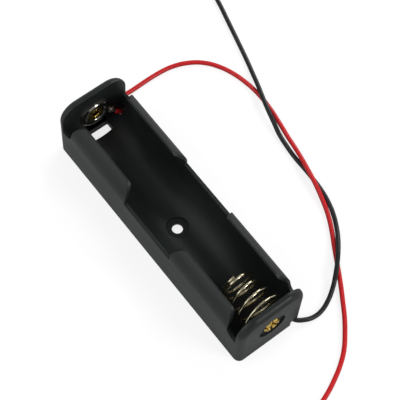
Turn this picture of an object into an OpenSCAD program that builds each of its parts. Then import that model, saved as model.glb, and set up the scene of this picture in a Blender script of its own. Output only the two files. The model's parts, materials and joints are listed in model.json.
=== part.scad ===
// Holder for one cylindrical cell, with a coil spring, two riveted contacts and two wire leads.
// X runs along the cell from the positive end to the spring end, Z is up, sizes in millimetres.
// The origin is in the middle of the tray's underside.

/* [Cell] */
// Diameter of the cell that the tray holds
cell_d = 18.4; // [17:0.1:19]
// Play across the cell in its trough
cell_play = 0.2; // [0.1:0.1:0.8]

/* [Tray] */
// Length over both end walls
tray_len = 78; // [76:0.5:84]
// Thickness of the side walls and the wings
side_t = 1; // [0.8:0.1:1.6]
// Thickness of the floor under the middle of the trough
floor_t = 1.5; // [1.2:0.1:2.5]
// Height of the end walls
end_h = 20.5; // [19:0.5:23]
// Thickness of the end walls
end_t = 2.2; // [2:0.1:2.8]
// Radius of the end walls' top corners
end_corner_r = 5.5; // [4:0.5:7]
// Rounding of the end walls' outer edges
end_edge_r = 1.8; // [1.2:0.1:1.9]

/* [Wings] */
// Height at which the bent side walls would meet a flat top
wing_h = 20.3; // [19.5:0.1:21.5]
// Outer bend radius of the wings
wing_r = 7.5; // [6:0.5:9]
// Width of the mouth between the wings' free edges
mouth_w = 13.6; // [11:0.2:15]
// Radius of the wings' corners seen from the side
wing_corner_r = 4.5; // [2:0.5:5]
// Length of the finger gap between the two pairs of wings
gap_len = 19.2; // [14:0.2:24]
// Height of the side walls along the finger gap
gap_z = 12.2; // [11.5:0.1:14]
// Length of the notch between a wing and its end wall
notch_len = 3.6; // [3:0.1:5]
// Height of the side walls at that notch
notch_z = 10.8; // [10:0.1:11.4]
// Radius at the foot of that notch
notch_r = 3; // [1:0.5:3]

/* [Floor] */
// Bore of the fixing hole
screw_d = 3; // [2.4:0.1:4]
// Diameter of the sunk seat around the fixing hole
screw_seat_d = 6; // [5:0.2:8]
// Depth of that seat below the trough
screw_seat_depth = 0.3; // [0.2:0.1:0.6]
// Width of the slot in front of the positive contact
slot_w = 2.8; // [1.5:0.1:3.5]
// Length of that slot across the tray
slot_len = 7.6; // [4:0.2:9]
// Distance of that slot from the end wall
slot_gap = 0; // [0:0.1:2]

/* [Lead channels] */
// Width of the channel that a lead leaves by
channel_w = 2.6; // [2.2:0.1:2.8]
// Height of the channel through the end wall
channel_h = 2.5; // [2.2:0.1:3.5]
// Length of the channel inside the end wall
channel_depth = 1.9; // [1.6:0.1:3]
// Height that the channel reaches inside the tray
channel_rise = 7.2; // [6:0.1:8]
// Wall left between the channel and the tray's side
channel_wall = 0.7; // [0.6:0.05:0.9]

/* [Rivets] */
// Outside diameter of an eyelet's barrel
eyelet_d = 3; // [2.4:0.1:3.4]
// Wall of an eyelet
eyelet_t = 0.35; // [0.25:0.05:0.5]
// Diameter of an eyelet's inner head
eyelet_head_d = 5; // [4.6:0.1:5.2]
// Diameter over the splayed petals
eyelet_splay_d = 5; // [4.4:0.1:5]
// Number of petals
eyelet_petals = 6; // [4:1:8]
// Diameter of the recess around the splayed end
recess_d = 8.2; // [7.6:0.2:9]
// Depth of that recess
recess_depth = 0.7; // [0.5:0.1:0.8]

/* [Contacts] */
// Thickness of the contact sheet
sheet_t = 0.3; // [0.2:0.05:0.4]
// Diameter of the positive contact
contact_d = 9.4; // [9.2:0.1:10]
// Height of the ring pressed into the positive contact
ring_h = 0.6; // [0.4:0.05:0.6]
// Diameter of the spring end's washer
washer_d = 7; // [6.4:0.2:8]
// Reach of the solder tags from the rivet
tag_reach = 7; // [6.8:0.1:7.1]
// Width of the solder tags
tag_w = 2.2; // [1.8:0.1:2.6]
// Diameter of a solder joint
solder_d = 1.9; // [1.7:0.1:2]

/* [Spring] */
// Wire of the spring
spring_wire = 0.8; // [0.6:0.05:0.9]
// Coil radius of the widest turn, to the middle of the wire
spring_base_r = 5.8; // [5:0.1:5.9]
// Coil radius at the free end, to the middle of the wire
spring_tip_r = 4; // [3.4:0.1:4.6]
// Turns between the wall and the free end
spring_turns = 5.1; // [4.1:0.5:6.1]
// Pitch of the open turns
spring_pitch = 3.2; // [2.8:0.1:3.4]

/* [Leads] */
// Outside diameter of the leads' insulation
lead_d = 1.3; // [1:0.1:1.5]
// Diameter of the bunched strands
strand_d = 0.6; // [0.4:0.05:0.7]
// Length of the tinned end
tinned_len = 5; // [3:0.5:8]

/* [Hidden] */
$fn = 96;
eps = 0.05;
fit = 0.02;

// The tray's section, worked out from the cell.
trough_r = (cell_d + cell_play) / 2;
tray_w = 2 * (trough_r + side_t);
axis_z = floor_t + trough_r;
end_x = tray_len / 2;
wall_x = end_x - end_t;
wing_end_x = wall_x - notch_len;
bend_y = tray_w / 2 - wing_r;
wing_top_z = wing_h - wing_r + sqrt(pow(wing_r, 2) - pow(mouth_w / 2 - bend_y, 2));

// The rivets' stacks, measured inwards from the end walls.
seat_x = end_x - recess_depth;
barrel_play = 0.05;
petal_gap = 0.7;
bore_r = eyelet_d / 2 - eyelet_t;
roll_r = (eyelet_splay_d / 2 - bore_r) / 2;
ring_r = (eyelet_head_d + contact_d) / 4;
washer_x = wall_x - sheet_t;
base_x = washer_x - spring_wire / 2;
spring_head_x = washer_x - spring_wire;

// The tags point down towards the lead channels.
tag_angle = -32;
solder_reach = tag_reach - solder_d / 2;
solder_y = solder_reach * cos(tag_angle);
solder_z = axis_z + solder_reach * sin(tag_angle);
channel_y = tray_w / 2 - channel_wall - channel_w;

// The spring's windings, counted in turns from the rivet. It leaves the wall at rise_turn.
loop_turns = 0.7;
spiral_turns = 2.1;
rise_turn = 1.8;
rise_angle = 131;
closed_turns = 1.1;
closed_pitch = spring_wire + 0.15;
turn_steps = 24;
wire_sides = 8;
tube_sides = 8;

// The way from the solder joint down the channel and out under the end wall, built at the +X end.
lead_z = 0.7;
exit_y = channel_y + channel_w / 2;
way_out = [
    [wall_x - 1, exit_y - 2, 6.4], [wall_x - 1.05, exit_y - 1.1, 5.5], [wall_x - 1.05, exit_y - 0.4, 4.5],
    [wall_x - 1.05, exit_y - 0.1, 3.4], [wall_x - 0.87, exit_y, 2.4], [wall_x - 0.38, exit_y, 1.75],
    [wall_x + 0.4, exit_y, 1.45], [end_x - 0.8, exit_y, 1.4], [end_x - 0.1, exit_y + 0.4, 1.35],
    [end_x + 0.6, exit_y + 1.2, 1.2], [end_x + 1.2, exit_y + 2.3, 1.05], [end_x + 1.7, exit_y + 3.5, 0.85],
    [end_x + 2, exit_y + 4.9, lead_z], [end_x + 2, exit_y + 7, lead_z]];

// The leads' routes over the surface that the tray stands on.
red_route = concat([for (p = way_out) [-p[0], p[1], p[2]]], [
    [-41, 25, lead_z], [-40.4, 29.1, lead_z], [-38.8, 33.2, lead_z], [-36.2, 36.8, lead_z],
    [-32.5, 39.6, lead_z], [-28.4, 41.4, lead_z], [-24.3, 42.4, lead_z], [-20, 42.9, lead_z],
    [-14, 42.7, lead_z], [-8, 41.8, lead_z], [-4, 41, 0.9], [0, 40.2, 1.5], [4, 39.3, 2.1],
    [8, 38.4, 2.2], [12, 37.5, 2], [16, 36.5, 1.2], [20.2, 35.1, lead_z], [24.2, 33.1, lead_z],
    [29.3, 30, lead_z], [38.3, 24.6, lead_z], [42.1, 22.1, lead_z], [45.8, 19.6, lead_z],
    [49.3, 16.8, lead_z], [52.5, 13.8, lead_z], [55.1, 10.4, lead_z], [57.2, 6.7, lead_z],
    [59, 2.8, lead_z], [60.9, -3, lead_z]]);
black_route = concat(way_out, [
    [39.9, 18.7, lead_z], [37.9, 22.1, 1.4], [35.7, 24.8, 2.1], [33.4, 27.3, 2.2],
    [30.9, 29.7, 2.2], [28.1, 32.1, 1.6], [25, 34.3, 0.8], [21.5, 36.1, lead_z], [18, 37.3, lead_z],
    [14, 38.1, lead_z], [8, 38.5, lead_z], [2, 38.6, lead_z], [-2, 39, lead_z], [-6, 39.6, 0.9],
    [-9.5, 40.4, 1.7], [-13, 41.3, 2.2], [-17, 42.6, 2.2], [-21, 44.1, 1.8], [-25, 45.6, 0.9],
    [-29, 46.9, lead_z], [-47, 51.9, lead_z], [-53.5, 53.8, lead_z], [-57.5, 56.5, lead_z],
    [-59.3, 61, lead_z], [-57.5, 65.5, lead_z], [-53.2, 68, lead_z], [-48, 68.8, lead_z],
    [-43.5, 69, lead_z]]);

function unit(v) = v / norm(v);
function last(list) = list[len(list) - 1];
function way(pts, i) = unit(pts[min(i + 1, len(pts) - 1)] - pts[max(i - 1, 0)]);
function square_to(v, t) = unit(v - (v * t) * t);

// The side direction at each point, carried along so that the tube doesn't twist.
function sides_of(pts, start) =
    [for (i = 0, s = square_to(start, way(pts, 0)); i < len(pts);
          i = i + 1, s = i < len(pts) ? square_to(s, way(pts, i)) : s) s];

// A tube through the points, as one closed surface.
module tube(pts, d, sides, start) {
    across = sides_of(pts, start);
    rings = [for (i = [0 : len(pts) - 1])
        let (u = across[i], v = cross(way(pts, i), u))
        for (k = [0 : sides - 1])
            pts[i] + d / 2 * (cos(360 * k / sides) * u + sin(360 * k / sides) * v)];
    skin = [for (i = [0 : len(pts) - 2], k = [0 : sides - 1])
        let (a = i * sides + k, b = i * sides + (k + 1) % sides)
        each [[a, b, b + sides], [a, b + sides, a + sides]]];
    first_cap = [[for (k = [sides - 1 : -1 : 0]) k]];
    last_cap = [[for (k = [0 : sides - 1]) (len(pts) - 1) * sides + k]];
    polyhedron(points = rings, faces = [for (f = concat(skin, first_cap, last_cap))
        [for (k = [len(f) - 1 : -1 : 0]) f[k]]]);
}

// Lays a profile drawn in Y and Z along X, from x to x + length.
module along_x(x, length) {
    translate([x, 0, 0]) rotate([90, 0, 90]) linear_extrude(length) children();
}

// Lays a profile drawn in X and Z across the whole tray.
module across_y() {
    translate([0, tray_w / 2 + eps, 0]) rotate([90, 0, 0]) linear_extrude(tray_w + 2 * eps) children();
}

// Turns a shape built on Z so that it stands on the cell's axis and points along +X.
module on_axis(x) {
    translate([x, 0, axis_z]) rotate([0, 90, 0]) children();
}

// The same for the far end: children are built for the +X end and mirrored.
module at_positive_end() {
    mirror([1, 0, 0]) children();
}

// An upright outline with a flat foot and two round top corners.
module round_top(w, h, r) {
    translate([-w / 2, 0]) square([w, h - r]);
    translate([-w / 2 + r, 0]) square([w - 2 * r, h]);
    for (side = [-1, 1]) translate([side * (w / 2 - r), h - r]) circle(r);
}

// The tray's section through a pair of wings.
module wing_section() {
    difference() {
        round_top(tray_w, wing_h, wing_r);
        translate([0, axis_z]) circle(trough_r);
        intersection() {
            round_top(2 * trough_r, wing_h - side_t, wing_r - side_t);
            translate([-tray_w / 2, axis_z]) square([tray_w, wing_h]);
        }
        translate([-mouth_w / 2, axis_z]) square([mouth_w, wing_h]);
    }
}

// What stays of the side walls, seen from the side.
module side_outline() {
    wing_len = wing_end_x - gap_len / 2;
    difference() {
        union() {
            translate([-wall_x - eps, 0]) square([2 * (wall_x + eps), gap_z]);
            for (side = [-1, 1]) translate([side * (gap_len / 2 + wing_len / 2), 0])
                round_top(wing_len, wing_top_z, wing_corner_r);
        }
        for (side = [0, 1]) mirror([side, 0]) notch_outline();
    }
}

// The notch between a wing and its end wall, round at the wing's foot.
module notch_outline() {
    translate([wing_end_x + notch_r, notch_z]) square([notch_len, wing_h]);
    translate([wing_end_x, notch_z + notch_r]) square([notch_len + notch_r, wing_h]);
    translate([wing_end_x + notch_r, notch_z + notch_r]) circle(notch_r);
}

// One end wall, with its outer edges rounded and its foot left sharp.
module end_wall() {
    r = end_edge_r;
    along_x(wall_x, end_t - r) round_top(tray_w, end_h, end_corner_r);
    along_x(end_x - r, r) round_top(tray_w - 2 * r, end_h - r, end_corner_r - r);
    translate([end_x - r, tray_w / 2 - end_corner_r, end_h - r]) rotate([90, 0, 0])
        linear_extrude(tray_w - 2 * end_corner_r) edge_round(r);
    for (side = [0, 1]) mirror([0, side, 0]) {
        translate([end_x - r, tray_w / 2 - r, 0]) linear_extrude(end_h - end_corner_r) edge_round(r);
        translate([end_x - r, tray_w / 2 - end_corner_r, end_h - end_corner_r])
            rotate([0, 90, 0]) rotate([0, 0, 90]) rotate_extrude(angle = 90)
                translate([end_corner_r - r, 0]) edge_round(r);
    }
}

// A quarter of a disc, for the rounded corners.
module edge_round(r) {
    intersection() {
        circle(r);
        square(r);
    }
}

// The recess, the rivet hole and the lead channel of one end wall.
module end_cuts() {
    on_axis(seat_x) cylinder(d = recess_d, h = recess_depth + eps);
    on_axis(wall_x - eps) cylinder(d = eyelet_d + 2 * barrel_play, h = end_t + 2 * eps);
    translate([wall_x - channel_depth, channel_y, -eps])
        cube([channel_depth + end_t + 2 * eps, channel_w, channel_h + eps]);
    translate([wall_x - channel_depth, channel_y, -eps])
        cube([channel_depth, channel_w, channel_rise + eps]);
}

module tray() {
    color([0.13, 0.14, 0.14]) difference() {
        union() {
            intersection() {
                along_x(-wall_x, 2 * wall_x) wing_section();
                across_y() side_outline();
            }
            end_wall();
            at_positive_end() end_wall();
        }
        end_cuts();
        at_positive_end() end_cuts();
        translate([0, 0, -eps]) cylinder(d = screw_d, h = floor_t + 2 * eps);
        translate([0, 0, floor_t - screw_seat_depth]) cylinder(d = screw_seat_d, h = axis_z);
        translate([-wall_x + slot_gap, -slot_len / 2, -eps]) cube([slot_w, slot_len, axis_z]);
    }
}

// A rivet's profile around Z: a head inside, a barrel and a splayed end outside.
module eyelet_body(grip) {
    rotate_extrude() {
        translate([bore_r, -eyelet_t]) square([eyelet_head_d / 2 - bore_r - eyelet_t / 2, eyelet_t]);
        translate([eyelet_head_d / 2 - eyelet_t / 2, -eyelet_t / 2]) circle(d = eyelet_t);
        translate([bore_r, -eyelet_t]) square([eyelet_t, grip + eyelet_t]);
        translate([bore_r + roll_r, grip]) intersection() {
            difference() {
                circle(roll_r);
                circle(roll_r - eyelet_t);
            }
            translate([-roll_r, 0]) square([2 * roll_r, roll_r]);
        }
    }
}

// A rivet whose head sits at head_x, split into petals where it is splayed.
module eyelet(head_x) {
    grip = seat_x - head_x;
    on_axis(head_x) difference() {
        eyelet_body(grip);
        for (k = [0 : eyelet_petals - 1]) rotate(360 * k / eyelet_petals)
            translate([bore_r - eyelet_t, -petal_gap / 2, grip + fit])
                cube([eyelet_splay_d, petal_gap, roll_r]);
    }
}

// A washer with a tail that carries the solder joint, lying on the end wall.
module tag_sheet(d) {
    on_axis(washer_x) difference() {
        union() {
            cylinder(d = d, h = sheet_t);
            rotate(90 + tag_angle) translate([0, -tag_w / 2, 0]) cube([tag_reach, tag_w, sheet_t]);
        }
        translate([0, 0, -eps]) cylinder(d = eyelet_d + 2 * barrel_play, h = sheet_t + 2 * eps);
    }
}

module negative_tag() {
    color([0.78, 0.77, 0.72]) tag_sheet(washer_d);
}

// The positive contact has a ring pressed out of its sheet, hollow behind, that stands towards the cell.
module positive_contact() {
    color([0.82, 0.8, 0.74]) at_positive_end() difference() {
        union() {
            tag_sheet(contact_d);
            pressed_ring(ring_h + sheet_t);
        }
        pressed_ring(ring_h);
    }
}

module pressed_ring(r) {
    on_axis(wall_x) rotate_extrude() translate([ring_r, 0]) intersection() {
        circle(r);
        translate([-r, -r]) square([2 * r, r]);
    }
}

module positive_eyelet() {
    color([0.84, 0.67, 0.3]) at_positive_end() eyelet(washer_x);
}

module negative_eyelet() {
    color([0.84, 0.67, 0.3]) eyelet(spring_head_x);
}

// The bare strands between the insulation and the solder joint, and the tinned far end.
module strands(route) {
    inner = route[0];
    joint = [sign(inner[0]) * (washer_x - strand_d / 2 - eps), solder_y, solder_z];
    tube([joint, inner - strand_d / 2 * way(route, 0), inner], strand_d, tube_sides, [1, 0, 0]);
    outer = last(route);
    tube([outer, outer + tinned_len * way(route, len(route) - 1)], strand_d, tube_sides, [0, 0, 1]);
}

// A domed joint on the tag, closed round the strands.
module solder(route) {
    difference() {
        translate([washer_x, solder_y, solder_z]) rotate([0, -90, 0]) intersection() {
            sphere(d = solder_d);
            cylinder(d = solder_d + eps, h = solder_d);
        }
        mirror([route[0][0] < 0 ? 1 : 0, 0, 0]) strands(route);
    }
}

module negative_solder() {
    color([0.7, 0.7, 0.7]) solder(black_route);
}

module positive_solder() {
    color([0.62, 0.4, 0.22]) at_positive_end() solder(red_route);
}

// Coil radius and pitch after u turns: a flat loop, a spiral that lifts off the wall, then a cone.
wide_turn = loop_turns + spiral_turns;
all_turns = rise_turn + spring_turns;
loop_r = eyelet_d / 2 + spring_wire / 2 + fit;

function coil_r(u) =
    u < loop_turns ? loop_r
    : u < wide_turn ? loop_r + (spring_base_r - loop_r) * (u - loop_turns) / spiral_turns
    : spring_base_r + (spring_tip_r - spring_base_r) * (u - wide_turn) / (all_turns - wide_turn);

function pitch_at(u) =
    u < rise_turn ? 0
    : u < rise_turn + 1 ? (u - rise_turn) * spring_pitch
    : u > all_turns - closed_turns ? closed_pitch
    : spring_pitch;

spring_steps = round(all_turns * turn_steps);
spring_rise = [for (i = 0, x = 0; i <= spring_steps;
                    i = i + 1, x = x + pitch_at(i / turn_steps) / turn_steps) x];

spring_path = [for (i = [0 : spring_steps])
    let (u = i / turn_steps, a = rise_angle - 360 * (u - rise_turn))
    [base_x - spring_rise[i], coil_r(u) * cos(a), axis_z + coil_r(u) * sin(a)]];

module negative_spring() {
    color([0.85, 0.83, 0.76]) tube(spring_path, spring_wire, wire_sides, [1, 0, 0]);
}

module red_lead() {
    color([0.78, 0.12, 0.14]) tube(red_route, lead_d, tube_sides, [0, 0, 1]);
}

module black_lead() {
    color([0.12, 0.12, 0.13]) tube(black_route, lead_d, tube_sides, [0, 0, 1]);
}

module red_lead_strands() {
    color([0.75, 0.75, 0.74]) strands(red_route);
}

module black_lead_strands() {
    color([0.75, 0.75, 0.74]) strands(black_route);
}

tray();
positive_contact();
positive_eyelet();
positive_solder();
negative_tag();
negative_eyelet();
negative_solder();
negative_spring();
red_lead();
red_lead_strands();
black_lead();
black_lead_strands();
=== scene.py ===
"""Looks of a holder for one cylindrical cell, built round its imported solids. Lengths are in metres."""
import json
import math

import bmesh
import bpy
from bpy.props import FloatProperty, FloatVectorProperty, IntProperty, PointerProperty
from mathutils import Matrix, Vector, noise


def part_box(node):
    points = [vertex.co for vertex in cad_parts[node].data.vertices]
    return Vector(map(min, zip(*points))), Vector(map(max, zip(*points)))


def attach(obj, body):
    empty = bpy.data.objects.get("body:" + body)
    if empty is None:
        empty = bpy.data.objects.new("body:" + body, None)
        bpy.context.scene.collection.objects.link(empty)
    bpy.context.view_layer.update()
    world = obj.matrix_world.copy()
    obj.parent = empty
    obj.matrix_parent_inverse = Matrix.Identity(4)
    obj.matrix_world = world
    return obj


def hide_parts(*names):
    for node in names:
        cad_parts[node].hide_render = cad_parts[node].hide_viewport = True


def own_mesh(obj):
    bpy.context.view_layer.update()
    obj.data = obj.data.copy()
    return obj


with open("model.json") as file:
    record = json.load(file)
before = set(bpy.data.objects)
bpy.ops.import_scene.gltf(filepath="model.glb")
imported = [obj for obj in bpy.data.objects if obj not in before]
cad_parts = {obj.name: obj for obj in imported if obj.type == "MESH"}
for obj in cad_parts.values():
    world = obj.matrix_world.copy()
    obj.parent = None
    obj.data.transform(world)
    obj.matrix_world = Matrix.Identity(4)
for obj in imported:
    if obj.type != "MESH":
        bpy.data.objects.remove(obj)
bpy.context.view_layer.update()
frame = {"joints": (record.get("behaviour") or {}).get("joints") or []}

bl_info = {
    "name": "Cylindrical Cell Holder",
    "version": (1, 0, 0),
    "blender": (4, 5, 0),
    "location": "3D View > Sidebar > Cell Holder",
    "description": "Builds the moulded tray, spring, rivets, contacts and leads of a cell holder",
    "category": "Object",
}

TRAY_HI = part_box("tray")[1]
PLATE_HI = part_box("positive_contact")[1]
TAG_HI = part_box("negative_tag")[1]
RIVET_LO, RIVET_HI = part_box("negative_eyelet")
SPRING_LO, SPRING_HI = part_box("negative_spring")
MM = 0.001
AXIS_Z = (RIVET_LO.z + RIVET_HI.z) / 2      # height of the cell's middle line
WALL_X = TAG_HI.x                           # inner face of the spring's end wall
END_X = TRAY_HI.x                           # its outer face
HALF_W = TRAY_HI.y                          # half the tray's width
CLEAR = 1 * MM                              # how far a cutter runs past what it cuts
ABOVE = 30 * MM                             # a height over everything on the tray
RIVET_HOLE = 1.55 * MM                      # radius of the holes that the rivets go through
PETAL_SEED = 4                              # fixes the noise that makes the rivets' petals uneven
AXES = {"x": Vector((1, 0, 0)), "y": Vector((0, 1, 0)), "z": Vector((0, 0, 1))}
SPRING_JOINT = next(j for j in frame["joints"] if j["name"] == "spring_press")


# ---------------------------------------------------------------- sizes and colours

def length(name, about, default):
    return FloatProperty(name=name, description=about, default=default, unit="LENGTH", subtype="DISTANCE")


def colour(name, about, default):
    return FloatVectorProperty(name=name, description=about, default=default, subtype="COLOR",
                               size=3, min=0, max=1)


class TraySizes(bpy.types.PropertyGroup):
    side_wall: length("Side wall", "Thickness of the side walls and the wings", 1.0 * MM)
    floor_wall: length("Floor", "Thickness of the floor under the middle of the trough", 1.5 * MM)
    wing_height: length("Wing height", "Height at which the bent side walls would meet a flat top", 20.3 * MM)
    wing_bend: length("Wing bend", "Outer bend radius of the wings", 7.5 * MM)
    mouth: length("Mouth", "Width between the wings' free edges", 13.6 * MM)
    wing_corner: length("Wing corner", "Radius of the wings' corners seen from the side", 4.5 * MM)
    finger_gap: length("Finger gap", "Length of the gap between the two pairs of wings", 19.2 * MM)
    gap_height: length("Gap height", "Height of the side walls along the finger gap", 12.2 * MM)
    notch: length("Notch", "Length of the notch between a wing and its end wall", 3.6 * MM)
    notch_height: length("Notch height", "Height of the side walls at the notch", 10.8 * MM)
    notch_foot: length("Notch foot", "Radius at the foot of the notch", 3.0 * MM)
    end_corner: length("End corner", "Radius of the end walls' top corners", 5.5 * MM)
    end_edge: length("End edge", "Rounding of the end walls' outer edges", 1.8 * MM)
    recess: length("Recess", "Diameter of the recess round each rivet", 8.2 * MM)
    recess_depth: length("Recess depth", "Depth of the recess round each rivet", 0.7 * MM)
    fixing_hole: length("Fixing hole", "Bore of the hole in the floor", 3.0 * MM)
    fixing_seat: length("Fixing seat", "Diameter of the sunk seat round the hole", 6.0 * MM)
    fixing_seat_depth: length("Seat depth", "Depth of the sunk seat", 0.3 * MM)
    slot_length: length("Slot length", "Length of the floor slot in front of the positive contact", 2.8 * MM)
    slot_width: length("Slot width", "Width of that slot, across the tray", 7.6 * MM)
    channel_width: length("Channel width", "Width of the channel that a lead leaves by", 2.6 * MM)
    channel_height: length("Channel height", "Height of the channel through the end wall", 2.5 * MM)
    channel_depth: length("Channel depth", "Length of the channel inside the end wall", 1.9 * MM)
    channel_rise: length("Channel rise", "Height that the channel reaches inside", 7.2 * MM)
    channel_wall: length("Channel wall", "Wall left outside the channel", 0.7 * MM)
    rim: length("Wing rim", "Width of the flat along the wings' free edges", 0.42 * MM)
    rim_slope: FloatProperty(name="Rim slope", description="Slope of that flat towards the trough",
                             default=math.radians(20), subtype="ANGLE")
    moulded_edge: length("Moulded edge", "Small rounding on every moulded edge", 0.14 * MM)
    plastic: colour("Plastic", "Colour of the moulding", (0.0205, 0.0243, 0.0241))


class MetalSizes(bpy.types.PropertyGroup):
    barrel: length("Barrel", "Outside diameter of a rivet's barrel", 3.0 * MM)
    barrel_wall: length("Barrel wall", "Wall of a rivet", 0.35 * MM)
    petals: IntProperty(name="Petals", description="Petals that a rivet splits into", default=6, min=4, max=8)
    split: length("Split", "Width of the splits between a rivet's petals", 0.7 * MM)
    sheet: length("Sheet", "Thickness of the contact sheet", 0.3 * MM)
    washer: length("Washer", "Diameter of the washer on the spring's solder tag", 7.0 * MM)
    tag_width: length("Tag width", "Width of the solder tags", 2.2 * MM)
    tag_reach: length("Tag reach", "Reach of the solder tags from the rivet", 7.0 * MM)
    tag_turn: FloatProperty(name="Tag turn", description="Angle of the tags below level",
                            default=math.radians(32), subtype="ANGLE")
    wire: length("Wire", "Diameter of the spring's wire", 0.8 * MM)
    base_coil: length("Base coil", "Widest coil radius, to the middle of the wire", 5.8 * MM)
    tip_coil: length("Tip coil", "Coil radius at the free end, to the middle of the wire", 4.0 * MM)
    turns: FloatProperty(name="Turns", description="Turns from leaving the wall to the free end", default=5.1)
    pitch: length("Pitch", "Pitch of the open turns", 3.2 * MM)
    lift_angle: FloatProperty(name="Lift angle", default=math.radians(131), subtype="ANGLE",
                              description="Angle above level at which the wire leaves the wall")
    plate: colour("Plating", "Colour of the plated sheet", (0.50, 0.48, 0.43))
    spring: colour("Spring", "Colour of the plated spring wire", (0.80, 0.73, 0.52))
    brass: colour("Brass", "Colour of the rivets", (0.86, 0.60, 0.14))
    solder: colour("Solder", "Colour of the solder joints", (0.62, 0.60, 0.56))


class LeadSizes(bpy.types.PropertyGroup):
    insulation: length("Insulation", "Outside diameter of the insulation", 1.3 * MM)
    strand_bunch: length("Strands", "Diameter of the bunched strands", 0.6 * MM)
    tinned: length("Tinned end", "Length of the tinned end", 5.0 * MM)
    red: colour("Red", "Colour of the positive lead", (0.80, 0.019, 0.024))
    black: colour("Black", "Colour of the negative lead", (0.016, 0.017, 0.018))


class StageSizes(bpy.types.PropertyGroup):
    floor: colour("Floor", "Colour of the floor", (0.4, 0.4, 0.4))
    turn: FloatProperty(name="Camera turn", description="Angle of the camera round the tray",
                        default=math.radians(47.95), subtype="ANGLE")
    tilt: FloatProperty(name="Camera tilt", description="Angle of the camera above the floor",
                        default=math.radians(64.68), subtype="ANGLE")
    roll: FloatProperty(name="Camera roll", description="Lean of the camera",
                        default=math.radians(4.86), subtype="ANGLE")
    place: FloatVectorProperty(name="Camera place", description="Where the camera stands", size=3,
                               default=(0.12076, -0.10174, 0.35333), subtype="XYZ", unit="LENGTH")
    lens: FloatProperty(name="Lens", description="Focal length in millimetres", default=131.02)


# ---------------------------------------------------------------- material nodes

class Signal:
    """One socket of a material, which can be worked with like a number."""

    def __init__(self, finish, socket):
        self.finish, self.socket = finish, socket

    def maths(self, operation, *others):
        return self.finish.node("ShaderNodeMath", {"operation": operation}, self, *others)

    def __add__(self, other):
        return self.maths("ADD", other)

    __radd__ = __add__

    def __mul__(self, other):
        return self.maths("MULTIPLY", other)

    __rmul__ = __mul__

    def __sub__(self, other):
        return self.maths("SUBTRACT", other)

    def __rsub__(self, other):
        return self.finish.node("ShaderNodeMath", {"operation": "SUBTRACT"}, other, self)

    def spread(self, low, high, to_low=0.0, to_high=1.0):
        """The signal between low and high, moved to lie between two other values and held there."""
        return self.finish.node("ShaderNodeMapRange", {"interpolation_type": "SMOOTHSTEP"},
                                self, low, high, to_low, to_high)


class Nodes:
    """A node tree that is written as plain expressions."""

    def __init__(self, tree):
        self.tree = tree

    def node(self, kind, settings, *values, out=None, **named):
        """Adds a node: its settings first, then the values or signals of its sockets."""
        made = self.tree.nodes.new(kind)
        for name, value in settings.items():
            setattr(made, name, value)
        sockets = [s for s in made.inputs if s.enabled]
        for socket, value in zip(sockets, values):
            self.feed(socket, value)
        for name, value in named.items():
            self.feed(next(s for s in sockets if s.name == name.replace("_", " ")), value)
        outs = [s for s in made.outputs if s.enabled]
        return Signal(self, next((s for s in outs if out is None or s.name == out), None)) if outs else made

    def feed(self, socket, value):
        if isinstance(value, Signal):
            self.tree.links.new(value.socket, socket)
        elif value is not None:
            if hasattr(value, "__len__") and len(value) == 3 and len(socket.default_value) == 4:
                value = (*value, 1)
            socket.default_value = value

    def mix(self, share, first, second):
        return self.node("ShaderNodeMix", {"data_type": "RGBA"}, share, first, second)


class Finish(Nodes):
    """A material made of nodes, with one shader."""

    def __init__(self, name, **constants):
        self.material = bpy.data.materials.new(name)
        self.material.use_nodes = True
        super().__init__(self.material.node_tree)
        self.shader = self.tree.nodes["Principled BSDF"]
        self.set(**constants)
        self.place = self.node("ShaderNodeTexCoord", {}, out="Object")

    def set(self, **signals):
        for name, value in signals.items():
            self.feed(self.shader.inputs[name.replace("_", " ")], value)

    def stretched(self, scale):
        """The place on the piece, with a pattern squeezed by scale along each axis."""
        return self.node("ShaderNodeMapping", {}, Vector=self.place, Scale=scale)

    def grain(self, size, detail=2.0, place=None, roughness=0.5):
        """Cloudy noise whose patches are about size across, from 0 to 1."""
        return self.node("ShaderNodeTexNoise", {}, Vector=place or self.place, Scale=1 / size,
                         Detail=detail, Roughness=roughness, out="Fac")

    def bumps(self, *layers):
        """Bump layers of (height signal, strength, depth), one on top of the next."""
        normal = None
        for height, strength, depth in layers:
            normal = self.node("ShaderNodeBump", {}, Strength=strength, Distance=depth, Height=height,
                               Normal=normal)
        self.set(Normal=normal)


def shade(tone, factor):
    """A darker or paler tone of the same hue."""
    return tuple(min(1.0, c * factor) for c in tone)


def moulded_plastic(base):
    """Satin moulding: faint flow marks, a fine grain, and thin scuffs where a cell slides in."""
    f = Finish("moulded_plastic", IOR=1.49, Specular_IOR_Level=0.33)
    flow = f.grain(14 * MM, 3, f.stretched((1, 3, 3)))
    grain = f.grain(0.22 * MM, 3)
    dimple = f.grain(0.9 * MM, 2)
    scuffs = f.grain(0.35 * MM, 2, f.stretched((0.06, 1, 1))).spread(0.62, 0.78)
    dust = f.grain(0.5 * MM, 4, roughness=0.7).spread(0.70, 0.80)
    cloudy = f.mix(flow.spread(0.3, 0.7), shade(base, 0.86), shade(base, 1.14))
    scuffed = f.mix(scuffs * 0.12, cloudy, shade(base, 1.9))
    f.set(Base_Color=f.mix(dust * 0.15, scuffed, (0.11, 0.115, 0.11)),
          Roughness=flow.spread(0.25, 0.75, 0.34, 0.42) + grain * 0.06 + scuffs * 0.05)
    f.bumps((flow, 0.35, 0.25 * MM), (dimple, 0.25, 0.02 * MM), (grain, 0.35, 0.008 * MM))
    return f.material


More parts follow.
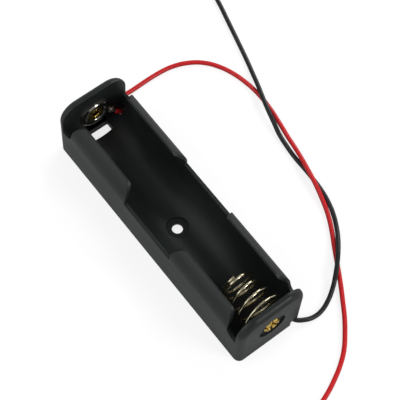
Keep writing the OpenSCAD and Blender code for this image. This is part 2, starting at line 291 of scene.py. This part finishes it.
def plated_sheet(base):
    """Nickel plate on pressed sheet: rolling lines and a little tarnish."""
    f = Finish("plated_sheet", Metallic=1.0)
    rolled = f.grain(0.12 * MM, 3, f.stretched((1, 1, 0.08)))
    tarnish = f.grain(1.6 * MM, 4).spread(0.42, 0.72)
    f.set(Base_Color=f.mix(tarnish * 0.5, base, shade(base, 0.62)),
          Roughness=tarnish * 0.10 + rolled * 0.06 + 0.09)
    f.bumps((rolled, 0.2, 0.008 * MM), (f.grain(2.4 * MM, 1), 0.3, 0.03 * MM))
    return f.material


def brass(base):
    """Bright brass with draw lines from the press and darker patches at random."""
    f = Finish("brass", Metallic=1.0)
    drawn = f.grain(0.10 * MM, 3, f.stretched((0.15, 1, 1)))
    spots = f.grain(0.7 * MM, 4).spread(0.48, 0.75)
    f.set(Base_Color=f.mix(spots * 0.55, base, (0.50, 0.27, 0.07)),
          Roughness=spots * 0.15 + drawn * 0.10 + 0.15)
    f.bumps((drawn, 0.4, 0.012 * MM), (f.grain(0.8 * MM, 2), 0.5, 0.04 * MM))
    return f.material


def spring_wire(base):
    """Plated wire with die lines drawn along it."""
    f = Finish("spring_wire", Metallic=1.0)
    die = f.grain(0.12 * MM, 2, f.stretched((1, 0.3, 0.3)))
    dull = f.grain(1.1 * MM, 3).spread(0.45, 0.75)
    f.set(Base_Color=f.mix(dull * 0.4, base, shade(base, 0.66)),
          Roughness=dull * 0.12 + die * 0.08 + 0.14)
    f.bumps((die, 0.25, 0.008 * MM))
    return f.material


def solder_metal(base):
    """A solder joint: bright where it flowed, with amber flux in patches."""
    f = Finish("solder_metal", IOR=1.5)
    flux = f.grain(0.7 * MM, 3).spread(0.45, 0.62)
    frost = f.grain(0.12 * MM, 3)
    f.set(Base_Color=f.mix(flux, base, (0.34, 0.13, 0.03)),
          Metallic=1 - flux * 0.85,
          Roughness=frost * 0.16 + 0.16)
    f.bumps((frost, 0.3, 0.01 * MM), (f.grain(0.6 * MM, 2), 0.5, 0.05 * MM))
    return f.material


def insulation(name, base, worn):
    """Extruded vinyl: a soft gloss, slow ripples along the wire and the lay of the strands beneath."""
    f = Finish(name, IOR=1.53, Specular_IOR_Level=0.35)
    ripple = f.grain(1.8 * MM, 2)
    skin = f.grain(0.16 * MM, 3)
    rubbed = f.grain(2.2 * MM, 3).spread(0.50, 0.78)
    f.set(Base_Color=f.mix(rubbed * 0.35, base, worn),
          Roughness=rubbed * 0.14 + skin * 0.08 + 0.26)
    f.bumps((ripple, 0.5, 0.03 * MM), (skin, 0.25, 0.006 * MM))
    return f.material


def tinned_copper():
    """Copper strands under tin, warmer where the tin is thin."""
    f = Finish("tinned_copper", Metallic=1.0)
    thin = f.grain(0.5 * MM, 3).spread(0.50, 0.75)
    f.set(Base_Color=f.mix(thin * 0.7, (0.70, 0.69, 0.67), (0.62, 0.36, 0.22)),
          Roughness=f.grain(0.15 * MM, 2) * 0.14 + 0.22)
    f.bumps((f.grain(0.25 * MM, 2), 0.4, 0.02 * MM))
    return f.material


# ---------------------------------------------------------------- shaping

def block(lo, hi):
    """A closed box between two corners."""
    bm = bmesh.new()
    lo, hi = Vector(lo), Vector(hi)
    bmesh.ops.create_cube(bm, size=1)
    bmesh.ops.scale(bm, vec=hi - lo, verts=bm.verts)
    bmesh.ops.translate(bm, vec=(lo + hi) / 2, verts=bm.verts)
    return bm


def rod(start, axis, reach, radius, sides=96):
    """A closed cylinder from start along +axis."""
    bm = bmesh.new()
    bmesh.ops.create_cone(bm, cap_ends=True, segments=sides, radius1=radius, radius2=radius, depth=reach)
    turn = Vector((0, 0, 1)).rotation_difference(AXES[axis]).to_matrix()
    bmesh.ops.rotate(bm, matrix=turn, verts=bm.verts)
    bmesh.ops.translate(bm, vec=Vector(start) + AXES[axis] * reach / 2, verts=bm.verts)
    return bm


def at(axis, value):
    """A test for an edge that lies wholly at value on one axis."""
    i = "xyz".index(axis)
    return lambda edge: all(abs(v.co[i] - value) < 1e-6 for v in edge.verts)


def off(axis, value):
    """The opposite test."""
    return lambda edge: not at(axis, value)(edge)


def runs(axis):
    """A test for an edge that runs along one axis."""
    i = "xyz".index(axis)
    return lambda edge: abs(edge.verts[0].co[i] - edge.verts[1].co[i]) > 0.9 * edge.calc_length()


def round_edges(bm, radius, segments, *tests):
    """Rounds the edges that pass every test."""
    edges = [e for e in bm.edges if all(test(e) for test in tests)]
    bmesh.ops.bevel(bm, geom=edges, offset=radius, offset_type="OFFSET", affect="EDGES",
                    segments=segments, profile=0.5, material=-1, clamp_overlap=False)
    bmesh.ops.remove_doubles(bm, verts=bm.verts, dist=2e-6)
    return bm


def as_object(name, bm):
    mesh = bpy.data.meshes.new(name)
    bm.to_mesh(mesh)
    bm.free()
    made = bpy.data.objects.new(name, mesh)
    bpy.context.scene.collection.objects.link(made)
    return made


def shaped_mesh(made):
    """A new mesh of the object as its modifiers or its curve shape it."""
    dg = bpy.context.evaluated_depsgraph_get()
    dg.update()
    return bpy.data.meshes.new_from_object(made.evaluated_get(dg))


def bake(made):
    """Turns the object's modifiers into its mesh."""
    mesh, old = shaped_mesh(made), made.data
    made.modifiers.clear()
    made.data = mesh
    bpy.data.meshes.remove(old)


def taken(made):
    """The object's mesh as a bmesh; the object is removed."""
    bm = bmesh.new()
    bm.from_mesh(made.data)
    bpy.data.objects.remove(made)
    return bm


def combine(body, operation, *tools):
    """Joins tools to the body, or takes them from it, one after another."""
    made = as_object("working_body", body)
    for tool in tools:
        other = as_object("working_tool", tool)
        step = made.modifiers.new("step", "BOOLEAN")
        step.operation, step.solver, step.object = operation, "EXACT", other
        bake(made)
        bpy.data.objects.remove(other)
    return taken(made)


def in_order(bm):
    """Sorts a mesh by place, because a boolean can leave the same shape in another order each time."""
    for parts, place in ((bm.verts, lambda v: v.co),
                         (bm.edges, lambda e: e.verts[0].co + e.verts[1].co),
                         (bm.faces, lambda f: f.calc_center_median())):
        for i, part in enumerate(sorted(parts, key=lambda p: tuple(place(p)))):
            part.index = i
        parts.sort()


def mirrored(bm, axis):
    """A copy turned over to the other end or side, with its faces still outwards."""
    copy = bm.copy()
    flip = Vector((1, 1, 1))
    flip["xyz".index(axis)] = -1
    bmesh.ops.scale(copy, vec=flip, verts=copy.verts)
    bmesh.ops.reverse_faces(copy, faces=copy.faces)
    return copy


def piece(name, bm, material, body, slot, *nodes, edge=0.0, angle=35):
    """Finishes a piece: small rounded edges, smooth shading, its material, its body and its node."""
    made = as_object(name, bm)
    for face in made.data.polygons:
        face.use_smooth = True
    if edge:
        bevel = made.modifiers.new("edges", "BEVEL")
        bevel.width, bevel.segments, bevel.limit_method = edge, 2, "ANGLE"
        bevel.angle_limit, bevel.use_clamp_overlap = math.radians(angle), False
        bevel.harden_normals, bevel.miter_outer = True, "MITER_ARC"
        bake(made)
    else:
        made.data.set_sharp_from_angle(angle=math.radians(angle))
    made.data.materials.clear()
    made.data.materials.append(material)
    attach(made, body)
    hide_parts(*nodes)
    return made


def wire_curve(name, ways, radius, smooth=True, sides=6, steps=6):
    """Round wires along rows of points, as one curve object."""
    curve = bpy.data.curves.new(name, "CURVE")
    curve.dimensions, curve.bevel_depth, curve.bevel_resolution = "3D", radius, sides
    curve.use_fill_caps, curve.resolution_u, curve.twist_mode = True, steps, "MINIMUM"
    for points in ways:
        line = curve.splines.new("BEZIER" if smooth else "POLY")
        if smooth:
            line.bezier_points.add(len(points) - 1)
            for knot, point in zip(line.bezier_points, points):
                knot.co = point
                knot.handle_left_type = knot.handle_right_type = "AUTO"
        else:
            line.points.add(len(points) - 1)
            for knot, point in zip(line.points, points):
                knot.co = (*point, 1)
    made = bpy.data.objects.new(name, curve)
    bpy.context.scene.collection.objects.link(made)
    return made


def as_bmesh(curve_object):
    """The curve's skin as a closed bmesh; the curve is removed."""
    mesh = shaped_mesh(curve_object)
    bpy.data.objects.remove(curve_object)
    bm = bmesh.new()
    bm.from_mesh(mesh)
    bpy.data.meshes.remove(mesh)
    bmesh.ops.remove_doubles(bm, verts=bm.verts, dist=1e-7)
    bmesh.ops.recalc_face_normals(bm, faces=bm.faces)
    return bm


# ---------------------------------------------------------------- the tray

def trough_and_wings(s):
    """The trough with its bent wings, running a little into the end walls."""
    lap = 0.3 * MM
    reach = WALL_X + lap
    over = reach + CLEAR
    body = block((-reach, -HALF_W, 0), (reach, HALF_W, s.wing_height))
    round_edges(body, s.wing_bend, 24, at("z", s.wing_height), runs("x"))
    body = combine(body, "DIFFERENCE", hollow(s, over),
                   block((-over, -s.mouth / 2, AXIS_Z), (over, s.mouth / 2, ABOVE)),
                   rim_cut(s, over), mirrored(rim_cut(s, over), "y"))
    return combine(body, "INTERSECT", side_outline(s, over))


def rim_cut(s, reach):
    """A bar that takes the outer corner off a wing's free edge, on the +Y side."""
    inward, outward, tall = 2 * MM, 1 * MM, 1.5 * MM
    start = s.mouth / 2 + s.rim
    bar = block((-reach, -inward, 0), (reach, outward, tall))
    bmesh.ops.rotate(bar, matrix=Matrix.Rotation(s.rim_slope, 3, "X"), verts=bar.verts)
    bmesh.ops.translate(bar, vec=(0, start, wing_top(s, start)), verts=bar.verts)
    return bar


def wing_top(s, y):
    """Height of the wings' bent outer face at y, on the +Y side."""
    across = y - HALF_W + s.wing_bend
    return s.wing_height - s.wing_bend + math.sqrt(s.wing_bend ** 2 - across ** 2)


def hollow(s, reach):
    """The room inside: a half round trough below and the inside of the wings above."""
    inner, top = HALF_W - s.side_wall, s.wing_height - s.side_wall
    space = block((-reach, -inner, AXIS_Z - inner), (reach, inner, top))
    round_edges(space, s.wing_bend - s.side_wall, 24, at("z", top), runs("x"))
    whisker = 1e-6
    return round_edges(space, inner - whisker, 36, at("z", AXIS_Z - inner), runs("x"))


def side_outline(s, reach):
    """What stays of the side walls seen from the side, as a block right across the tray."""
    wide = HALF_W + CLEAR
    top = wing_top(s, s.mouth / 2) + 0.02 * MM
    wing_end = WALL_X - s.notch
    low = block((-reach, -wide, -CLEAR), (reach, wide, s.gap_height))
    wing = block((s.finger_gap / 2, -wide, 1 * MM), (wing_end, wide, top))
    round_edges(wing, s.wing_corner, 16, at("z", top), runs("y"))
    foot = block((wing_end - 1 * MM, -wide, 2 * MM), (reach, wide, s.notch_height + s.notch_foot))
    cut = block((wing_end, -wide - CLEAR, s.notch_height), (reach + CLEAR, wide + CLEAR, ABOVE))
    round_edges(cut, s.notch_foot, 12, at("z", s.notch_height), at("x", wing_end))
    outline = combine(low, "UNION", mirrored(wing, "x"), mirrored(foot, "x"), wing, foot)
    return combine(outline, "DIFFERENCE", mirrored(cut, "x"), cut)


def end_wall(s):
    """One end wall with round top corners and a rounded outer edge."""
    wall = block((WALL_X, -HALF_W, 0), (END_X, HALF_W, TRAY_HI.z))
    round_edges(wall, s.end_corner, 16, at("z", TRAY_HI.z), runs("x"))
    return round_edges(wall, s.end_edge, 8, at("x", END_X), off("z", 0))


def end_cuts(s):
    """The recess, the rivet's hole and the lead's channel at one end."""
    side = HALF_W - s.channel_wall
    corner = (WALL_X - s.channel_depth, side - s.channel_width, -CLEAR)
    return [rod((END_X - s.recess_depth, 0, AXIS_Z), "x", 3 * MM, s.recess / 2),
            rod((WALL_X - CLEAR, 0, AXIS_Z), "x", 4 * MM, RIVET_HOLE, 64),
            block(corner, (END_X + CLEAR, side, s.channel_height)),
            block(corner, (WALL_X, side, s.channel_rise))]


class CELLHOLDER_OT_tray(bpy.types.Operator):
    """Moulds the tray with its trough, wings, end walls, holes and channels"""
    bl_idname = "cellholder.tray"
    bl_label = "Tray"

    def execute(self, context):
        s = context.scene.cell_tray
        wall = end_wall(s)
        tray = combine(trough_and_wings(s), "UNION", mirrored(wall, "x"), wall)
        cuts = end_cuts(s)
        floor_cuts = [
            rod((0, 0, -CLEAR), "z", 4 * MM, s.fixing_hole / 2, 64),
            rod((0, 0, s.floor_wall - s.fixing_seat_depth), "z", 8 * MM, s.fixing_seat / 2),
            block((-WALL_X, -s.slot_width / 2, -CLEAR),
                  (-WALL_X + s.slot_length, s.slot_width / 2, AXIS_Z))]
        tray = combine(tray, "DIFFERENCE", *[mirrored(cut, "x") for cut in cuts], *cuts, *floor_cuts)
        in_order(tray)
        crumb, flat = 0.015 * MM, math.radians(0.3)
        bmesh.ops.remove_doubles(tray, verts=tray.verts, dist=crumb)
        bmesh.ops.dissolve_limit(tray, angle_limit=flat, verts=tray.verts, edges=tray.edges)
        piece("moulded_tray", tray, moulded_plastic(s.plastic), "holder", "black_plastic", "tray",
              edge=s.moulded_edge)
        return {"FINISHED"}


# ---------------------------------------------------------------- rivets and contacts

def thickened(bm, thickness):
    """A sheet given its thickness, half to each side."""
    made = as_object("working_sheet", bm)
    wall = made.modifiers.new("wall", "SOLIDIFY")
    wall.thickness, wall.offset, wall.use_even_offset = thickness, 0, True
    bake(made)
    return taken(made)


def turned(profile, steps):
    """A profile of (x, radius) points turned round the cell's axis, its faces outwards."""
    bm = bmesh.new()
    points = [bm.verts.new((x, 0, AXIS_Z + r)) for x, r in profile]
    edges = [bm.edges.new(pair) for pair in zip(points, points[1:])]
    bmesh.ops.spin(bm, geom=points + edges, cent=(0, 0, AXIS_Z), axis=(1, 0, 0), dvec=(0, 0, 0),
                   angle=math.tau, steps=steps, use_merge=True, use_duplicate=False)
    bmesh.ops.recalc_face_normals(bm, faces=bm.faces)
    return bm


def arc(x, r, radius, start, end, steps):
    """Points of an arc in a profile; angles in degrees from +x towards larger radius."""
    turns = [math.radians(start + (end - start) * k / steps) for k in range(steps + 1)]
    return [(x + radius * math.cos(a), r + radius * math.sin(a)) for a in turns]


def rivet(s, head_x):
    """A tubular rivet from its inner head to its splayed end, which is split into petals."""
    wall = s.barrel_wall
    head = RIVET_HI.z - AXIS_Z
    middle = (s.barrel - wall) / 2
    seat = RIVET_HI.x - (RIVET_HI.z - AXIS_Z - s.barrel / 2 + wall) / 2
    roll = (head - s.barrel / 2 + wall) / 2 - wall / 2
    bend, face_x = 0.22 * MM, head_x - wall / 2
    profile = [(face_x, head - wall * 0.3), (face_x, middle + 0.6 * MM)]
    profile += arc(face_x + bend, middle + bend, bend, 180, 270, 4)
    profile += arc(seat, middle + roll, roll, -90, 84, 10)
    bm = turned(profile, 20 * s.petals)
    petal = 360 / s.petals
    split = []
    for face in bm.faces:
        c = face.calc_center_median()
        turn = (math.degrees(math.atan2(c.z - AXIS_Z, c.y)) + 90) % petal
        half = math.degrees(s.split / 2 / math.hypot(c.y, c.z - AXIS_Z))
        if c.x > seat + roll * 0.25 and (turn < half or turn > petal - half):
            split.append(face)
    bmesh.ops.delete(bm, geom=split, context="FACES")
    dent_size, dent, gap = 1.6 * MM, 0.09 * MM, 0.02 * MM
    noise.seed_set(PETAL_SEED)
    for v in bm.verts:
        if v.co.x > seat:
            v.co += noise.noise_vector(v.co / dent_size) * dent
            v.co.x = min(v.co.x, END_X - wall / 2 - gap)
    return thickened(bm, wall)


def tail(s):
    """The solder tag's tail, from the middle of the washer down towards the channel."""
    start, corner = 1.8 * MM, 0.5 * MM
    strip = block((WALL_X - s.sheet, start, AXIS_Z - s.tag_width / 2),
                  (WALL_X, s.tag_reach, AXIS_Z + s.tag_width / 2))
    round_edges(strip, corner, 6, at("y", s.tag_reach), runs("x"))
    bmesh.ops.rotate(strip, cent=(0, 0, AXIS_Z), matrix=Matrix.Rotation(-s.tag_turn, 3, "X"),
                     verts=strip.verts)
    return strip


def pressed_plate(s):
    """The positive contact: a disc with a ring pressed out of it towards the cell."""
    bore, seat, rise, foot = 1.6 * MM, 2.5 * MM, 0.75 * MM, 0.95 * MM
    flat = WALL_X - s.sheet / 2
    rim = PLATE_HI.z - AXIS_Z
    ring = (seat + rim) / 2
    profile = [(flat, bore), (flat, ring - foot)]
    profile += [(WALL_X - rise * math.sin(math.radians(a)), ring - rise * math.cos(math.radians(a)))
                for a in range(24, 157, 12)]
    profile += [(flat, ring + foot), (flat, rim)]
    return combine(thickened(turned(profile, 96), s.sheet), "UNION", tail(s))


class CELLHOLDER_OT_rivets(bpy.types.Operator):
    """Turns the two brass rivets and splays their outer ends"""
    bl_idname = "cellholder.rivets"
    bl_label = "Rivets"

    def execute(self, context):
        s = context.scene.cell_metal
        metal = brass(s.brass)
        for name, node, head_x, flip in (
                ("rivet_negative", "negative_eyelet", RIVET_LO.x + s.barrel_wall, False),
                ("rivet_positive", "positive_eyelet", WALL_X - s.sheet, True)):
            shape = rivet(s, head_x)
            if flip:
                shape = mirrored(shape, "x")
            piece(name, shape, metal, "holder", "brass", node, edge=0.05 * MM, angle=40)
        return {"FINISHED"}


class CELLHOLDER_OT_contacts(bpy.types.Operator):
    """Presses the positive contact and the spring's solder tag"""
    bl_idname = "cellholder.contacts"
    bl_label = "Contacts"

    def execute(self, context):
        s = context.scene.cell_metal
        metal = plated_sheet(s.plate)
        plate = mirrored(pressed_plate(s), "x")
        piece("contact_positive", plate, metal, "holder", "plated_sheet", "positive_contact",
              edge=0.03 * MM, angle=50)
        tag = combine(rod((WALL_X - s.sheet, 0, AXIS_Z), "x", s.sheet, s.washer / 2), "UNION", tail(s))
        hole = rod((WALL_X - CLEAR, 0, AXIS_Z), "x", 2 * MM, RIVET_HOLE, 64)
        piece("tag_negative", combine(tag, "DIFFERENCE", hole), metal, "holder", "plated_sheet",
              "negative_tag", edge=0.04 * MM, angle=50)
        return {"FINISHED"}


# ---------------------------------------------------------------- the spring

def spring_points(s):
    """The wire's middle line: a flat loop round the rivet, a spiral that lifts off the wall, then a cone.

    The turns at which it spirals, lifts and closes are counted from the wire's start.
    """
    loop, spiral, lifts, closed = 0.7, 2.1, 1.8, 1.1
    wide, whole = loop + spiral, lifts + s.turns
    loop_r = (s.barrel + s.wire) / 2 + 0.02 * MM
    closed_pitch = s.wire + 0.15 * MM
    steps = 36
    x, points = WALL_X - s.sheet - s.wire / 2, []
    for i in range(round(whole * steps) + 1):
        u = i / steps
        if u < loop:
            r = loop_r
        elif u < wide:
            r = loop_r + (s.base_coil - loop_r) * (u - loop) / spiral
        else:
            r = s.base_coil + (s.tip_coil - s.base_coil) * (u - wide) / (whole - wide)
        a = s.lift_angle - math.tau * (u - lifts)
        points.append(Vector((x, r * math.cos(a), AXIS_Z + r * math.sin(a))))
        if u >= lifts:
            rise = (u - lifts) * s.pitch if u < lifts + 1 else s.pitch
            x -= (closed_pitch if u > whole - closed else rise) / steps
    return points


class CELLHOLDER_OT_spring(bpy.types.Operator):
    """Winds the coil spring"""
    bl_idname = "cellholder.spring"
    bl_label = "Spring"

    def execute(self, context):
        s = context.scene.cell_metal
        wire = as_bmesh(wire_curve("working_wire", [spring_points(s)], s.wire / 2, smooth=False))
        made = piece("coil_spring", wire, spring_wire(s.spring), "holder", "spring_wire",
                     "negative_spring", angle=50)
        travel = SPRING_JOINT["range_m"][1]
        1 - travel / (SPRING_HI.x - SPRING_LO.x)
        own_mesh(made)
        return {"FINISHED"}


# ---------------------------------------------------------------- leads

# The leads' routes in millimetres, as their solids have them: from the solder joint, down the channel,
# out under the end wall and over the floor.
WAY_OUT = (
    (35.8, 6.3, 6.4), (35.75, 7.2, 5.5), (35.75, 7.9, 4.5), (35.75, 8.2, 3.4), (35.93, 8.3, 2.4),
    (36.42, 8.3, 1.75), (37.2, 8.3, 1.45), (38.2, 8.3, 1.4), (38.9, 8.7, 1.35), (39.6, 9.5, 1.2),
    (40.2, 10.6, 1.05), (40.7, 11.8, 0.85), (41, 13.2, 0.7), (41, 15.3, 0.7))
RED_ROUTE = tuple((-x, y, z) for x, y, z in WAY_OUT) + (
    (-41, 25, 0.7), (-40.4, 29.1, 0.7), (-38.8, 33.2, 0.7), (-36.2, 36.8, 0.7), (-32.5, 39.6, 0.7),
    (-28.4, 41.4, 0.7), (-24.3, 42.4, 0.7), (-20, 42.9, 0.7), (-14, 42.7, 0.7), (-8, 41.8, 0.7),
    (-4, 41, 0.9), (0, 40.2, 1.5), (4, 39.3, 2.1), (8, 38.4, 2.2), (12, 37.5, 2), (16, 36.5, 1.2),
    (20.2, 35.1, 0.7), (24.2, 33.1, 0.7), (29.3, 30, 0.7), (38.3, 24.6, 0.7), (42.1, 22.1, 0.7),
    (45.8, 19.6, 0.7), (49.3, 16.8, 0.7), (52.5, 13.8, 0.7), (55.1, 10.4, 0.7), (57.2, 6.7, 0.7),
    (59, 2.8, 0.7), (60.9, -3, 0.7))
BLACK_ROUTE = WAY_OUT + (
    (39.9, 18.7, 0.7), (37.9, 22.1, 1.4), (35.7, 24.8, 2.1), (33.4, 27.3, 2.2), (30.9, 29.7, 2.2),
    (28.1, 32.1, 1.6), (25, 34.3, 0.8), (21.5, 36.1, 0.7), (18, 37.3, 0.7), (14, 38.1, 0.7),
    (8, 38.5, 0.7), (2, 38.6, 0.7), (-2, 39, 0.7), (-6, 39.6, 0.9), (-9.5, 40.4, 1.7), (-13, 41.3, 2.2),
    (-17, 42.6, 2.2), (-21, 44.1, 1.8), (-25, 45.6, 0.9), (-29, 46.9, 0.7), (-47, 51.9, 0.7),
    (-53.5, 53.8, 0.7), (-57.5, 56.5, 0.7), (-59.3, 61, 0.7), (-57.5, 65.5, 0.7), (-53.2, 68, 0.7),
    (-48, 68.8, 0.7), (-43.5, 69, 0.7))


def strands(start, end, width, spread=0.0):
    """Seven strands along a short straight line, the outer six twisted about the middle one.

    Their tips spread a little where spread is above 0.
    """
    steps, twist = 14, 2.2
    way = (end - start).normalized()
    side = way.orthogonal().normalized()
    up = way.cross(side)
    lines = [[] for _ in range(7)]
    for i in range(steps + 1):
        middle = start.lerp(end, i / steps)
        gap = width / 3 * (1 + spread * max(0.0, i / steps - 0.7))
        for n, line in enumerate(lines):
            a = math.radians(60 * n) + twist * i / steps
            line.append(middle + (side * math.cos(a) + up * math.sin(a)) * (gap if n < 6 else 0))
    return lines


class CELLHOLDER_OT_leads(bpy.types.Operator):
    """Lays the two leads over the floor, with their bare strands"""
    bl_idname = "cellholder.leads"
    bl_label = "Leads"

    def execute(self, context):
        s, m = context.scene.cell_leads, context.scene.cell_metal
        tin = tinned_copper()
        red = insulation("red_insulation", s.red, (0.80, 0.045, 0.045))
        black = insulation("black_insulation", s.black, (0.035, 0.036, 0.037))
        tuck, wall_point = 0.3 * MM, 7
        for hue, route, vinyl in (("red", RED_ROUTE, red), ("black", BLACK_ROUTE, black)):
            path = [Vector(point) * MM for point in route]
            end = math.copysign(1, path[0].x)
            wire = wire_curve(f"lead_{hue}", [path], s.insulation / 2, sides=5, steps=8)
            wire.data.materials.append(vinyl)
            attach(wire, "holder")
            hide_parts(f"{hue}_lead")
            joint = solder_place(m, end) - Vector((end * s.strand_bunch / 2, 0, 0))
            inner = path[0] + (path[1] - path[0]).normalized() * tuck
            away = (path[-1] - path[-2]).normalized()
            lines = strands(joint, inner, s.strand_bunch)
            lines += strands(path[-1] - away * tuck, path[-1] + away * s.tinned, s.strand_bunch, 0.8)
            bare = as_bmesh(wire_curve("working_strands", lines, s.strand_bunch / 6, sides=2, steps=2))
            bare = piece(f"strands_{hue}", bare, tin, "holder", "tinned_strands",
                         f"{hue}_lead_strands", angle=60)
        return {"FINISHED"}


# ---------------------------------------------------------------- solder

def solder_place(s, end):
    """The middle of the solder joint's foot on the tag at one end."""
    from_tip = 0.95 * MM
    reach = s.tag_reach - from_tip
    return Vector((end * (WALL_X - s.sheet), reach * math.cos(s.tag_turn),
                   AXIS_Z - reach * math.sin(s.tag_turn)))


class CELLHOLDER_OT_solder(bpy.types.Operator):
    """Flows the two solder joints onto the tags"""
    bl_idname = "cellholder.solder"
    bl_label = "Solder joints"

    def execute(self, context):
        s = context.scene.cell_metal
        metal = solder_metal(s.solder)
        radius, lump_size, lump, flatten = 0.92 * MM, 0.7 * MM, 0.12 * MM, 0.86
        for name, node, end in (("solder_positive", "positive_solder", -1),
                                ("solder_negative", "negative_solder", 1)):
            bm = bmesh.new()
            bmesh.ops.create_icosphere(bm, subdivisions=4, radius=radius)
            for v in bm.verts:
                v.co += v.normal * noise.noise(v.co / lump_size + Vector((end, 0, 0))) * lump
                v.co.x *= flatten
            bmesh.ops.bisect_plane(bm, geom=list(bm.verts) + list(bm.edges) + list(bm.faces),
                                   plane_co=(0, 0, 0), plane_no=(end, 0, 0), clear_outer=True)
            rim = [e for e in bm.edges if e.is_boundary]
            bmesh.ops.contextual_create(bm, geom=rim)
            bmesh.ops.recalc_face_normals(bm, faces=bm.faces)
            bmesh.ops.translate(bm, vec=solder_place(s, end), verts=bm.verts)
            piece(name, bm, metal, "holder", "solder", node, angle=50)
        return {"FINISHED"}


# ---------------------------------------------------------------- camera, floor and lamps

def aim(turn, tilt, roll):
    """The camera's turn as a matrix: its right, its up and its back."""
    back = Vector((math.sin(turn) * math.cos(tilt), -math.cos(turn) * math.cos(tilt), math.sin(tilt)))
    right = Vector((math.cos(turn), math.sin(turn), 0))
    up = back.cross(right)
    side = right * math.cos(roll) + up * math.sin(roll)
    top = up * math.cos(roll) - right * math.sin(roll)
    return Matrix((side, top, back)).transposed()


def light_paths(nodes):
    """Three signals, 1 for a ray from the camera, from a mirroring surface and through glass."""
    return [nodes.node("ShaderNodeLightPath", {}, out=kind)
            for kind in ("Is Camera Ray", "Is Glossy Ray", "Is Transmission Ray")]


def lamp(name, place, size, power):
    """A square soft white lamp that faces the middle of the tray."""
    data = bpy.data.lights.new(name, "AREA")
    data.shape, data.size, data.energy = "SQUARE", size, power
    made = bpy.data.objects.new(name, data)
    bpy.context.scene.collection.objects.link(made)
    made.location = place
    made.rotation_mode = "QUATERNION"
    made.rotation_quaternion = (Vector((0, 0, 0.01)) - Vector(place)).to_track_quat("-Z", "Y")


class CELLHOLDER_OT_camera(bpy.types.Operator):
    """Sets up the camera"""
    bl_idname = "cellholder.camera"
    bl_label = "Camera"

    def execute(self, context):
        s = context.scene.cell_stage
        data = bpy.data.cameras.new("camera")
        data.sensor_fit, data.sensor_width, data.lens = "HORIZONTAL", 36, s.lens
        data.clip_start, data.clip_end = 0.01, 10
        camera = bpy.data.objects.new("camera", data)
        context.scene.collection.objects.link(camera)
        camera.matrix_world = Matrix.LocRotScale(Vector(s.place), aim(s.turn, s.tilt, s.roll), None)
        context.scene.camera = camera
        return {"FINISHED"}


class CELLHOLDER_OT_stage(bpy.types.Operator):
    """Lays the pale floor and hangs the soft lamps"""
    bl_idname = "cellholder.stage"
    bl_label = "Floor and lamps"

    def execute(self, context):
        s = context.scene.cell_stage
        half_side, under = 1.5, 0.02 * MM
        bm = bmesh.new()
        bmesh.ops.create_grid(bm, x_segments=1, y_segments=1, size=half_side)
        bmesh.ops.translate(bm, vec=(0, 0, -under), verts=bm.verts)
        floor = as_object("floor", bm)
        floor.data.materials.append(self.floor_finish(s.floor))
        self.sky(context.scene)
        lamp("lamp_key", (0.62, 0.33, 0.55), size=0.25, power=1.8)
        lamp("lamp_back", (-0.25, 0.70, 0.5), size=0.5, power=2.4)
        lamp("lamp_fill", (-0.18, -0.67, 0.57), size=0.8, power=2.4)
        context.scene.view_settings.view_transform = "Standard"
        return {"FINISHED"}

    def floor_finish(self, tone):
        """Pale matt board, lifted to white for the eye and a little in reflections."""
        f = Finish("floor", Base_Color=tone, Roughness=0.9, Specular_IOR_Level=0.0)
        seen, mirrored_in, seen_through = light_paths(f)
        f.set(Emission_Color=(1, 1, 1), Emission_Strength=(seen + seen_through) * 0.78 + mirrored_in * 0.2)
        return f.material

    def sky(self, scene):
        """Soft light from all round, brightest at the horizon and white to the eye."""
        world = bpy.data.worlds.new("sky")
        world.use_nodes = True
        scene.world = world
        n = Nodes(world.node_tree)
        world.node_tree.nodes.clear()
        way = n.node("ShaderNodeTexCoord", {}, out="Generated")
        height = n.node("ShaderNodeSeparateXYZ", {}, way, out="Z")
        seen, mirrored_in, seen_through = light_paths(n)
        lit = height.spread(0.0, 0.45, 0.7, 0.26)
        tone = lit + mirrored_in * height.spread(0.0, 0.3, 0.3, 0.0)
        direct = seen + seen_through
        strength = tone * (1 - direct) + direct
        sky = n.node("ShaderNodeBackground", {}, Color=(1, 1, 1), Strength=strength)
        n.node("ShaderNodeOutputWorld", {}, sky)


class CELLHOLDER_PT_panel(bpy.types.Panel):
    """Lists the pieces of the cell holder"""
    bl_idname = "CELLHOLDER_PT_panel"
    bl_label = "Cell Holder"
    bl_space_type = "VIEW_3D"
    bl_region_type = "UI"
    bl_category = "Cell Holder"

    def draw(self, context):
        for operator in OPERATORS:
            self.layout.operator(operator.bl_idname)
        for group in ("cell_tray", "cell_metal", "cell_leads", "cell_stage"):
            box = self.layout.box()
            sizes = getattr(context.scene, group)
            for name in sizes.__annotations__:
                box.prop(sizes, name)


OPERATORS = (CELLHOLDER_OT_camera, CELLHOLDER_OT_leads, CELLHOLDER_OT_tray, CELLHOLDER_OT_rivets,
             CELLHOLDER_OT_contacts, CELLHOLDER_OT_spring, CELLHOLDER_OT_solder, CELLHOLDER_OT_stage)
GROUPS = {"cell_tray": TraySizes, "cell_metal": MetalSizes, "cell_leads": LeadSizes,
          "cell_stage": StageSizes}


def register():
    for made in (*GROUPS.values(), *OPERATORS, CELLHOLDER_PT_panel):
        bpy.utils.register_class(made)
    for name, group in GROUPS.items():
        setattr(bpy.types.Scene, name, PointerProperty(type=group))


def unregister():
    for name in GROUPS:
        delattr(bpy.types.Scene, name)
    for made in reversed((*GROUPS.values(), *OPERATORS, CELLHOLDER_PT_panel)):
        bpy.utils.unregister_class(made)


def main():
    register()
    for operator in OPERATORS:
        getattr(bpy.ops.cellholder, operator.bl_idname.split(".")[1])()


if __name__ == "__main__":
    main()
